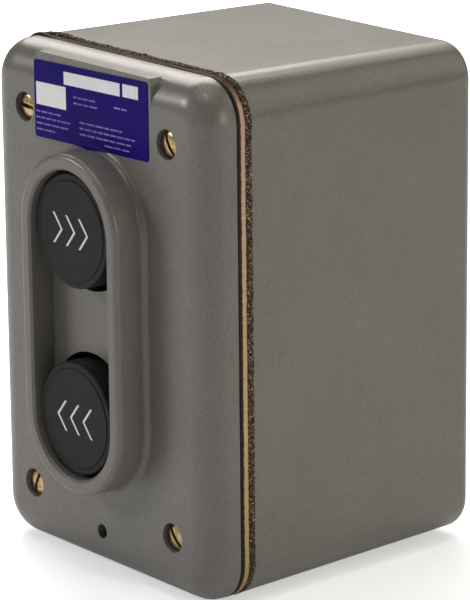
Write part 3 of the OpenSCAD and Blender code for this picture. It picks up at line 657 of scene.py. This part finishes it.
def paint_shade_on_edge(material, y0, y1, z_top):
    """Darkens a sheet's edge to brown at its two rims and along its top: painted shade."""
    tree = material.node_tree
    shader = tree.nodes["Principled BSDF"]
    where = put(tree, "TexCoord").outputs["Object"]
    place = put(tree, "SeparateXYZ", {"Vector": where}).outputs
    blotch = cloud(tree, where, 0.9, 4, 0.65)
    rim = calc(tree, "ADD", calc(tree, "ABSOLUTE", between(tree, place["Y"], -1, 1, y0, y1)), blotch)
    above = between(tree, place["Z"], 0, 0.92, z_top - 0.006, z_top - 0.001)
    facing = put(tree, "SeparateXYZ", {"Vector": put(tree, "NewGeometry").outputs["Normal"]}).outputs["Y"]
    on_edge = between(tree, calc(tree, "ABSOLUTE", facing), 1, 0, 0.3, 0.7)
    # Where the painted shade goes: the two rims, next to the rubber and the cork, and the top, only on faces
    # that don't face along Y.
    painted_shade = calc(tree, "MULTIPLY", calc(tree, "MAXIMUM", between(tree, rim, 0, 1, 1.1, 1.4), above), on_edge)
    mixed = put(tree, "Mix", {"Factor": painted_shade}, data_type="RGBA")
    mixed.inputs["B"].default_value = PAINTED_SHADE_COLOUR
    tree.links.new(shader.inputs["Base Color"].links[0].from_socket, mixed.inputs["A"])
    tree.links.new(mixed.outputs["Result"], shader.inputs["Base Color"])
    tree.links.new(calc(tree, "SUBTRACT", 1.0, painted_shade), shader.inputs["Metallic"])
    tree.links.new(between(tree, painted_shade, 0.5, 1.0, 0, 1), shader.inputs["Roughness"])
    shader.inputs["Specular IOR Level"].default_value = 0.1


# The mounting plate's edge gets painted shade at its two rims and along its top.
paint_shade_on_edge(PLATE_EDGE, low("mounting_plate").y, high("mounting_plate").y, high("mounting_plate").z)
dress("mounting_plate", PLATE_EDGE)
dress("ground_screw", GREEN)
for way in WAYS:
    for part, finish in INNER_FINISHES:
        dress(part + way, finish)
print("dressed", 2 + len(WAYS) * len(INNER_FINISHES), "nodes")

# %% [markdown]
# The screws, the button heads and the moulded blocks show their edges, so they get softened copies like
# the castings'. The slots in the screws were cut by a saw, so their bevel is small.

# %% Screws, heads and blocks
screws = soften("cover_screws", "slotted_screws", 0.00012, GOLD, angle=35)
for way in WAYS:
    head = soften("button_" + way, "push_head_" + way, 0.00012, PHENOLIC, angle=35)
    soften("block_housing_" + way, "terminal_block_" + way, 0.0003, BLOCK)
    soften("block_cap_" + way, "chamber_cap_" + way, 0.00025, CAP, angle=35)

# %% [markdown]
# ## Silver on copper
#
# The contact strips and the bridge are copper alloy with silver tips riveted on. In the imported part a
# strip and its tips are one node, so a copy gets two finishes, and the faces close to a tip's axis and
# off the strip's own level take the silver one.

# %% Contacts
def silvered(node, name, tip_x, radius, strip_low, strip_high, z):
    piece = soften(node, name, 0.00008, COPPER, SILVER, angle=40)
    for face in piece.data.polygons:
        c = face.center
        near = math.hypot(abs(c.x) - tip_x, c.z - z) < radius + 0.0001
        face.material_index = int(near and (c.y < strip_low - 0.00002 or c.y > strip_high + 0.00002))


TIP_X = high("contact_bridge_forward").x - 0.0023
for way in WAYS:
    z = BUTTON[way].z
    for part, name in (("closed_contacts_", "rest_contacts_"), ("open_contacts_", "work_contacts_")):
        node = part + way
        if part == "closed_contacts_":
            levels = (low(node).y, low(node).y + MM)
        else:
            levels = (high(node).y - MM, high(node).y)
        silvered(node, name + way, TIP_X, 0.0022, *levels, z)
    node = "contact_bridge_" + way
    silvered(node, "moving_bridge_" + way, TIP_X, 0.0022, low(node).y + 0.0008, high(node).y - 0.0008, z)

# %% [markdown]
# ## Coil springs
#
# A spring is one wire along a helix, so Geometry Nodes make it: a spiral curve swept by a small circle.

# %% Coil springs
def coil_tree():
    tree = bpy.data.node_groups.new("coil", "GeometryNodeTree")
    face = tree.interface
    face.new_socket("Geometry", in_out="INPUT", socket_type="NodeSocketGeometry")
    for name in ("Coil radius", "Wire radius", "Length", "Turns"):
        face.new_socket(name, in_out="INPUT", socket_type="NodeSocketFloat")
    face.new_socket("Sides", in_out="INPUT", socket_type="NodeSocketInt")
    face.new_socket("Finish", in_out="INPUT", socket_type="NodeSocketMaterial")
    face.new_socket("Geometry", in_out="OUTPUT", socket_type="NodeSocketGeometry")
    given = tree.nodes.new("NodeGroupInput").outputs
    spiral = tree.nodes.new("GeometryNodeCurveSpiral")
    spiral.inputs["Resolution"].default_value = 40
    for socket, name in (("Rotations", "Turns"), ("Start Radius", "Coil radius"),
                         ("End Radius", "Coil radius"), ("Height", "Length")):
        tree.links.new(given[name], spiral.inputs[socket])
    section = tree.nodes.new("GeometryNodeCurvePrimitiveCircle")
    tree.links.new(given["Sides"], section.inputs["Resolution"])
    tree.links.new(given["Wire radius"], section.inputs["Radius"])
    sweep = tree.nodes.new("GeometryNodeCurveToMesh")
    sweep.inputs["Fill Caps"].default_value = True
    tree.links.new(spiral.outputs["Curve"], sweep.inputs["Curve"])
    tree.links.new(section.outputs["Curve"], sweep.inputs["Profile Curve"])
    real = tree.nodes.new("GeometryNodeRealizeInstances")
    tree.links.new(sweep.outputs["Mesh"], real.inputs["Geometry"])
    painted = tree.nodes.new("GeometryNodeSetMaterial")
    tree.links.new(real.outputs["Geometry"], painted.inputs["Geometry"])
    tree.links.new(given["Finish"], painted.inputs["Material"])
    tree.links.new(painted.outputs["Geometry"], tree.nodes.new("NodeGroupOutput").inputs["Geometry"])
    return tree


coil = coil_tree()


def wind(name, coil_r, wire_r, length, turns, finish, matrix, sides=12):
    """A coil of round wire, made along +Z and then put in place by the matrix."""
    piece = keep(name, bpy.data.meshes.new(name))
    run_nodes(piece, coil, {"Coil radius": coil_r, "Wire radius": wire_r, "Length": length, "Turns": turns,
                            "Sides": sides, "Finish": finish})
    piece.data.transform(matrix)
    shape = bmesh.new()
    shape.from_mesh(piece.data)
    bmesh.ops.recalc_face_normals(shape, faces=shape.faces)
    shape.to_mesh(piece.data)
    shape.free()
    if sides > 4:
        piece.data.shade_smooth()
    print(name, len(piece.data.polygons), "faces")
    return piece


def along_y(x, y, z):
    """Turns +Z into +Y and moves the start to a point."""
    return Matrix.Translation((x, y, z)) @ Matrix.Rotation(math.radians(-90), 4, "X")


for way in WAYS:
    z = BUTTON[way].z
    for part, name, wire, turns, ends in (
            ("return_spring_", "return_coil_", 0.0005, 5.0, (way + "_button", "enclosure")),
            ("contact_spring_", "contact_coil_", 0.000275, 3.0, (way + "_button", way + "_bridge"))):
        node = part + way
        a, b = low(node), high(node)
        piece = wind(name + way, (b.x - a.x) / 2 - wire, wire, b.y - a.y - 2 * wire, turns, WIRE,
                     along_y(0, a.y + wire, z))
        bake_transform(piece)
        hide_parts(node)

# %% [markdown]
# ## Boots
#
# A rubber boot seals each stem: its cuff rides with the button and its flange stays clamped under the
# cover, so the dome between them folds. A merged copy of the solid takes the rubber finish and blends
# between the two bodies.

# %% Rubber boots
for way in WAYS:
    node = "boot_" + way
    shape = merged(node)
    mesh = bpy.data.meshes.new("seal_boot_" + way)
    long_edges = [e for e in shape.edges if e.calc_length() > 0.0025]
    bmesh.ops.subdivide_edges(shape, edges=long_edges, cuts=2, use_grid_fill=True)
    bmesh.ops.triangulate(shape, faces=shape.faces)
    shape.to_mesh(mesh)
    shape.free()
    boot = keep(mesh.name, mesh, RUBBER)
    mesh.shade_smooth()
    boot.modifiers.new("even", "WEIGHTED_NORMAL")
    settle(boot)
    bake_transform(boot)
    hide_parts(node)
    print(boot.name, len(boot.data.polygons), "faces")

# %% [markdown]
# ## Direction marks
#
# Each head carries a white direction mark, pressed into the moulding and filled with paint. The marks
# are three plain chevrons, pointing one way on the upper button and the other way on the lower. They are
# thin solids let into the face, drawn as stroked outlines with mitred points, so they stay crisp in
# close views where a painted mask would blur.

# %% Chevron marks
def chevron(shape, x, z, wide, tall, stroke, y0, y1, side):
    """One stroked chevron whose point faces +X where side is 1."""
    lean = math.atan2(tall / 2, wide)
    across = stroke / math.sin(lean)
    half = tall / 2
    outline = [(-wide / 2, half), (-wide / 2 + across, half), (wide / 2 + across, 0),
               (-wide / 2 + across, -half), (-wide / 2, -half), (wide / 2, 0)]
    shift = -across / 2
    points = [(x + side * (px + shift), z + pz) for px, pz in outline]
    front = [shape.verts.new((px, y0, pz)) for px, pz in points]
    back = [shape.verts.new((px, y1, pz)) for px, pz in points]
    shape.faces.new(front)
    shape.faces.new(back[::-1])
    for i in range(len(points)):
        j = (i + 1) % len(points)
        shape.faces.new((front[i], front[j], back[j], back[i]))


CHEVRON_WIDE, CHEVRON_TALL, STROKE, CHEVRON_PITCH = 0.0032, 0.0078, 0.00062, 0.0051
MARKS_X, MARKS_DROP = -0.0003, 0.0001
PROUD, SUNK = 0.00003, 0.00012

for way, side in (("forward", 1), ("reverse", -1)):
    face = low("button_" + way).y
    shape = bmesh.new()
    for k in (-1, 0, 1):
        chevron(shape, MARKS_X + k * CHEVRON_PITCH, BUTTON[way].z - MARKS_DROP, CHEVRON_WIDE, CHEVRON_TALL,
                STROKE, face - PROUD, face + SUNK, side)
    bmesh.ops.recalc_face_normals(shape, faces=shape.faces)
    mesh = bpy.data.meshes.new("chevrons_" + way)
    shape.to_mesh(mesh)
    shape.free()
    marks = keep(mesh.name, mesh, MARK_PAINT)
    corner = marks.modifiers.new("corner", "BEVEL")
    corner.width, corner.segments, corner.limit_method = 0.00005, 2, "ANGLE"
    settle(marks)
    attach(marks, way + "_button")
    print(marks.name, len(marks.data.polygons), "faces")

# %% [markdown]
# ## Rating plate
#
# A dark blue film is stuck on the flat pad, a little askew, its right end higher than its left. It has
# three white fields and some broken rules, all of them plain. The solid stops where the foot of the guard
# starts. The film's outline is the hull of the solid's, with rounded corners, so its lower edge runs over
# that foot. It is cut into a grid there, and a ray from the front finds how far each point has to rise to
# lie on the casting. Fields and rules are printed on it, so they are thin tiles that follow its slope.

# %% Blue film
def make_film(name, dark, light, gloss):
    material, tree, shader, where = start(name, IOR=1.5, Specular_IOR_Level=0.06)
    tree.links.new(ramp(tree, cloud(tree, where, 12, 4), [(0.3, dark), (0.7, light)]),
                   shader.inputs["Base Color"])
    tree.links.new(between(tree, cloud(tree, where, 3, 4), gloss[0], gloss[1]), shader.inputs["Roughness"])
    relief(tree, shader, [(cloud(tree, where, 4, 2), 0.00003), (cloud(tree, where, 0.6, 2), 0.000004)])
    return material


BLUE = make_film("blue_film", (0.0085, 0.0016, 0.125), (0.0115, 0.0026, 0.155), (0.42, 0.55))
WHITE_INK = make_film("white_ink", srgb(226, 223, 225), srgb(236, 233, 235), (0.3, 0.42))
FAINT_INK = make_film("faint_ink", srgb(104, 92, 172), srgb(150, 140, 205), (0.35, 0.5))

film_front, film_back = low("rating_plate").y, high("rating_plate").y
ROW, COLUMN, ROWS, COLUMNS, GRID_LEFT = 0.0004, 0.0005, 13, 48, -0.014
LIFT_ZONE, CLEARANCE, CORNER_CUT = 0.006, 0.00002, 0.0008
SORT_BY = Vector((1, 0.001, 1000))


def fold_over(shape, back_y):
    """Cuts the film's lower part into a fine grid and lifts each point clear of the casting under it."""
    lowest, in_front = low("rating_plate").z, low("front_cover").y - 0.01
    casting = BVHTree.FromPolygons([v.co for v in cover.data.vertices],
                                   [tuple(p.vertices) for p in cover.data.polygons])
    cuts = [((0, 0, lowest + ROW * k), (0, 0, 1)) for k in range(ROWS, 0, -1)]
    cuts += [((GRID_LEFT + COLUMN * k, 0, 0), (1, 0, 0)) for k in range(COLUMNS)]
    for k, (place, across) in enumerate(cuts):
        below = [f for f in shape.faces if k == 0 or f.calc_center_median().z < lowest + ROW * ROWS]
        parts = below + [e for f in below for e in f.edges] + [v for f in below for v in f.verts]
        bmesh.ops.bisect_plane(shape, geom=list(dict.fromkeys(parts)), plane_co=place, plane_no=across)
    # The cuts leave points and faces in an order that changes from run to run, so both are sorted by place.
    shape.verts.sort(key=lambda v: v.co.dot(SORT_BY))
    shape.faces.sort(key=lambda f: f.calc_center_median().dot(SORT_BY))
    lifted = 0
    for v in shape.verts:
        if v.co.z > lowest + LIFT_ZONE:
            continue
        hit = casting.ray_cast(Vector((v.co.x, in_front, v.co.z)), Vector((0, 1, 0)))[0]
        if hit is not None and hit.y < back_y - CLEARANCE:
            v.co.y += hit.y - back_y
            lifted += 1
    return lifted


loop = flat_loops("rating_plate", film_front)[0]
outline = [Vector((loop[k][0], 0, loop[k][1])) for k in convex_hull_2d([Vector(p) for p in loop])]
shape = bmesh.new()
base = shape.faces.new([shape.verts.new((p.x, film_back, p.z)) for p in outline])
corners = []
for i, v in enumerate(base.verts):
    before, after = base.verts[i - 1].co - v.co, base.verts[(i + 1) % len(outline)].co - v.co
    if math.degrees(before.angle(after)) < 120 and min(before.length, after.length) > 0.004:
        corners.append(v)
bmesh.ops.bevel(shape, geom=corners, offset=CORNER_CUT, segments=4, affect="VERTICES", profile=0.5)
rim = bmesh.ops.extrude_face_region(shape, geom=list(shape.faces))
for v in rim["geom"]:
    if isinstance(v, bmesh.types.BMVert):
        v.co.y = film_front
bent = fold_over(shape, film_back)
bmesh.ops.recalc_face_normals(shape, faces=shape.faces)
mesh = bpy.data.meshes.new("blue_film_plate")
shape.to_mesh(mesh)
shape.free()
film = keep(mesh.name, mesh, BLUE)
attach(film, "enclosure")
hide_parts("rating_plate")
print(film.name, len(film.data.polygons), "faces,", len(corners), "round corners,", bent, "points lifted")

# %% [markdown]
# Fields and rules are placed by how far they lie below the film's top edge, so they keep its slope. Each
# rule is cut into short dashes of random length, with a fixed seed, so every run draws the same ones.

# %% White fields and rules
film_low, film_high = low("rating_plate"), high("rating_plate")
RISE = 0.00115
SLOPE = RISE / (film_high.x - film_low.x)


def under_top(x, drop):
    """The height of a point that lies drop below the film's top edge."""
    return film_high.z - (film_high.x - x) * SLOPE - drop


def tile(shape, x0, x1, drop0, drop1, y0, y1):
    corners = [(x0, under_top(x0, drop1)), (x1, under_top(x1, drop1)), (x1, under_top(x1, drop0)),
               (x0, under_top(x0, drop0))]
    front = [shape.verts.new((x, y0, z)) for x, z in corners]
    back = [shape.verts.new((x, y1, z)) for x, z in corners]
    shape.faces.new(front)
    shape.faces.new(back[::-1])
    for i in range(4):
        j = (i + 1) % 4
        shape.faces.new((front[i], front[j], back[j], back[i]))


def printed(name, tiles, finish, proud):
    shape = bmesh.new()
    for x0, x1, drop0, drop1 in tiles:
        tile(shape, x0 * MM, x1 * MM, drop0 * MM, drop1 * MM, film_front - proud, film_front + 0.00005)
    bmesh.ops.recalc_face_normals(shape, faces=shape.faces)
    mesh = bpy.data.meshes.new(name)
    shape.to_mesh(mesh)
    shape.free()
    piece = keep(name, mesh, finish)
    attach(piece, "enclosure")
    print(name, len(tiles), "tiles")


def line(x0, x1, drop, seed, tall):
    """A rule broken into short dashes."""
    pick = random.Random(seed)
    dashes, x = [], x0
    while x < x1 - 0.6:
        end = min(x + pick.uniform(1.2, 3.4), x1)
        dashes.append((x, end, drop - tall / 2, drop + tall / 2))
        x = end + 0.45
    return dashes


# Places in mm: left end, right end, and how far the top and the bottom lie under the film's top edge.
FIELDS = ((-11.4, 10.9, 1.65, 4.85), (12.0, 18.0, 1.6, 4.75), (-22.8, -10.7, 5.5, 11.2))
RULE_TALL, NOTE_TALL = 0.42, 0.38
printed("white_fields", FIELDS, WHITE_INK, 0.00002)
rules = []
for k, right in enumerate((-12.5, -9.2, -10.0, -15.5)):
    rules += line(-23.0, right, 12.9 + 1.5 * k, 3 + k, RULE_TALL)
for k, (left, right) in enumerate(((-5.4, 11.5), (-5.4, 16.4), (-5.4, 15.6), (4.5, 14.2))):
    rules += line(left, right, 13.5 + 1.45 * k, 17 + k, RULE_TALL)
for left, right, drop, seed in ((-7.6, 1.0, 7.5, 31), (-7.6, 2.4, 9.0, 32), (8.5, 13.5, 7.9, 33)):
    rules += line(left, right, drop, seed, NOTE_TALL)
printed("small_rules", rules, FAINT_INK, 0.00001)

# %% [markdown]
# ## Conduit thread
#
# The hub in the bottom has a pipe thread. The solid leaves threads out, so a coil with a three-sided wire
# is set into the bore: the coil tree above does this with three sides instead of twelve.

# %% Thread in the conduit hub
entry = next(m for m in frame["record"]["mounts"] if m["name"] == "conduit_entry")
bore, hub_y = entry["dims"]["r_mm"] * MM, entry["pos_m"][1]
PITCH, TURNS, CREST, MOUTH_Z = 0.0018, 5.0, 0.00075, 0.0015
thread = wind("conduit_thread", bore - 0.0001, CREST, TURNS * PITCH, TURNS, ENAMEL,
              Matrix.Translation((0, hub_y, MOUTH_Z)), sides=3)
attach(thread, "enclosure")

# %% [markdown]
# ## Camera
#
# The photograph was taken from the right and a little above, with a long lens. Its place, turn and
# field of view were solved from the outline of the castings, so the camera goes where they say. A camera
# looks along its own -Z, with X to the right and Y up, so its matrix is built from those directions.

# %% Place the camera
def aim(azimuth, elevation, roll=0.0):
    """The matrix of a camera that looks at the part from an azimuth (0 is the front) and elevation."""
    a, e, t = (math.radians(v) for v in (azimuth, elevation, roll))
    back = Vector((math.sin(a) * math.cos(e), -math.cos(a) * math.cos(e), math.sin(e)))
    right = (-back).cross(Vector((0, 0, 1))).normalized()
    up = right.cross(-back)
    x = math.cos(t) * right + math.sin(t) * up
    y = math.cos(t) * up - math.sin(t) * right
    return Matrix((x, y, back)).transposed()


LENS_MM, AZIMUTH, ELEVATION, ROLL = 213.19, 50.658, 15.655, -0.615
STANDS_AT = (0.67018, -0.54451, 0.30490)
camera_data = bpy.data.cameras.new("camera")
camera_data.sensor_width = 36
camera_data.lens = LENS_MM
camera_data.clip_start, camera_data.clip_end = 0.05, 20
camera = bpy.data.objects.new("camera", camera_data)
bpy.context.scene.collection.objects.link(camera)
camera.matrix_world = aim(AZIMUTH, ELEVATION, ROLL).to_4x4()
camera.location = STANDS_AT
bpy.context.scene.camera = camera
print("camera at", STANDS_AT)

# %% [markdown]
# ## Floor
#
# The object stands on white paper that fades into a white ground. One sheet can't be both as white as the
# picture and as dim as the object's underside needs, so there are two, one just above the other. The camera
# sees only the upper one, which glows a little beside the object, where its soft shadow has to stay, and
# and fully from half a metre on. Light that bounces meets only the lower one.

# %% Two sheets of paper for a floor
PAPER_LOW, PAPER_HIGH = (0.90, 0.92, 0.95), (0.92, 0.94, 0.97)
SHADOW_R, WHITE_R = 0.05, 0.6


def paper(name, z, nearby, far):
    shape = bmesh.new()
    bmesh.ops.create_circle(shape, cap_ends=True, radius=6, segments=96)
    mesh = bpy.data.meshes.new(name)
    shape.to_mesh(mesh)
    shape.free()
    finish, tree, shader, where = start(name + "_paper", Roughness=0.9)
    tree.links.new(ramp(tree, cloud(tree, where, 300, 2), [(0.3, PAPER_LOW), (0.7, PAPER_HIGH)]),
                   shader.inputs["Base Color"])
    away = put(tree, "VectorMath", {0: where}, operation="LENGTH").outputs["Value"]
    glow = put(tree, "MapRange", {"Value": away, "From Min": SHADOW_R, "From Max": WHITE_R,
                                  "To Min": nearby, "To Max": far},
               interpolation_type="SMOOTHSTEP").outputs["Result"]
    shader.inputs["Emission Color"].default_value = (1, 1, 1, 1)
    tree.links.new(glow, shader.inputs["Emission Strength"])
    sheet = keep(name, mesh, finish)
    sheet.location.z = z
    print(name, "at", z / MM, "mm")
    return sheet


seen_floor = paper("floor", -0.0002, 0.46, 1.0)
seen_floor.visible_diffuse = seen_floor.visible_glossy = seen_floor.visible_shadow = False
bounce_floor = paper("bounce_floor", -0.0004, 0.07, 0.07)
bounce_floor.visible_camera = False

# %% [markdown]
# ## Studio light
#
# The lamps were found as a photographer would, one at a time: a render with each lamp alone, then the
# mix of them that gives the brightness of the real picture on the front, the side, the top and in the
# shadows. A softbox behind and above makes the top bright, one from the left makes the front and throws
# the soft shadow beside the guard, and large ones to the right and behind open the side. The lamps from
# the side are a little warmer, and a small one draws the bright lines on the rim of the guard. The world
# is white, but only the camera sees it, so it doesn't fill the shadows.

# %% Softboxes and world
def softbox(name, azimuth, elevation, distance, width, height, watts, tint, target=(0, 0, 0.065)):
    data = bpy.data.lights.new(name, "AREA")
    data.shape, data.size, data.size_y, data.energy, data.color = "RECTANGLE", width, height, watts, tint
    lamp = bpy.data.objects.new(name, data)
    bpy.context.scene.collection.objects.link(lamp)
    turn = aim(azimuth, elevation)
    lamp.matrix_world = turn.to_4x4()
    lamp.location = Vector(target) + turn.col[2] * distance
    return lamp


NEUTRAL, CREAM, WARM = (1, 0.99, 1), (1, 0.95, 0.88), (1, 0.95, 0.83)
for name, azimuth, elevation, distance, width, height, watts, tint in (
        ("top_softbox", 20, 82, 1.3, 1.2, 1.2, 5.6, CREAM),
        ("left_softbox", -43, 25, 1.4, 0.35, 0.35, 6.2, NEUTRAL),
        ("high_back_softbox", 230, 40, 1.5, 1.4, 0.9, 9.8, CREAM),
        ("low_front_softbox", 0, 10, 1.4, 0.8, 0.8, 1.1, NEUTRAL),
        ("right_softbox", 95, 15, 1.4, 0.6, 0.6, 4.8, WARM),
        ("left_back_softbox", -120, 40, 1.4, 0.8, 0.8, 7.2, CREAM),
        ("right_back_softbox", 150, 30, 1.4, 1.0, 1.0, 4.6, WARM),
        ("rim_lamp", 22, 72, 1.2, 0.06, 0.06, 0.8, NEUTRAL)):
    softbox(name, azimuth, elevation, distance, width, height, watts, tint)

world = bpy.data.worlds.new("studio")
world.use_nodes = True
bpy.context.scene.world = world
world.node_tree.nodes["Background"].inputs["Color"].default_value = (1, 1, 1, 1)
world.node_tree.nodes["Background"].inputs["Strength"].default_value = 1.0
world.cycles_visibility.diffuse = world.cycles_visibility.glossy = False
bpy.context.scene.view_settings.view_transform = "Standard"
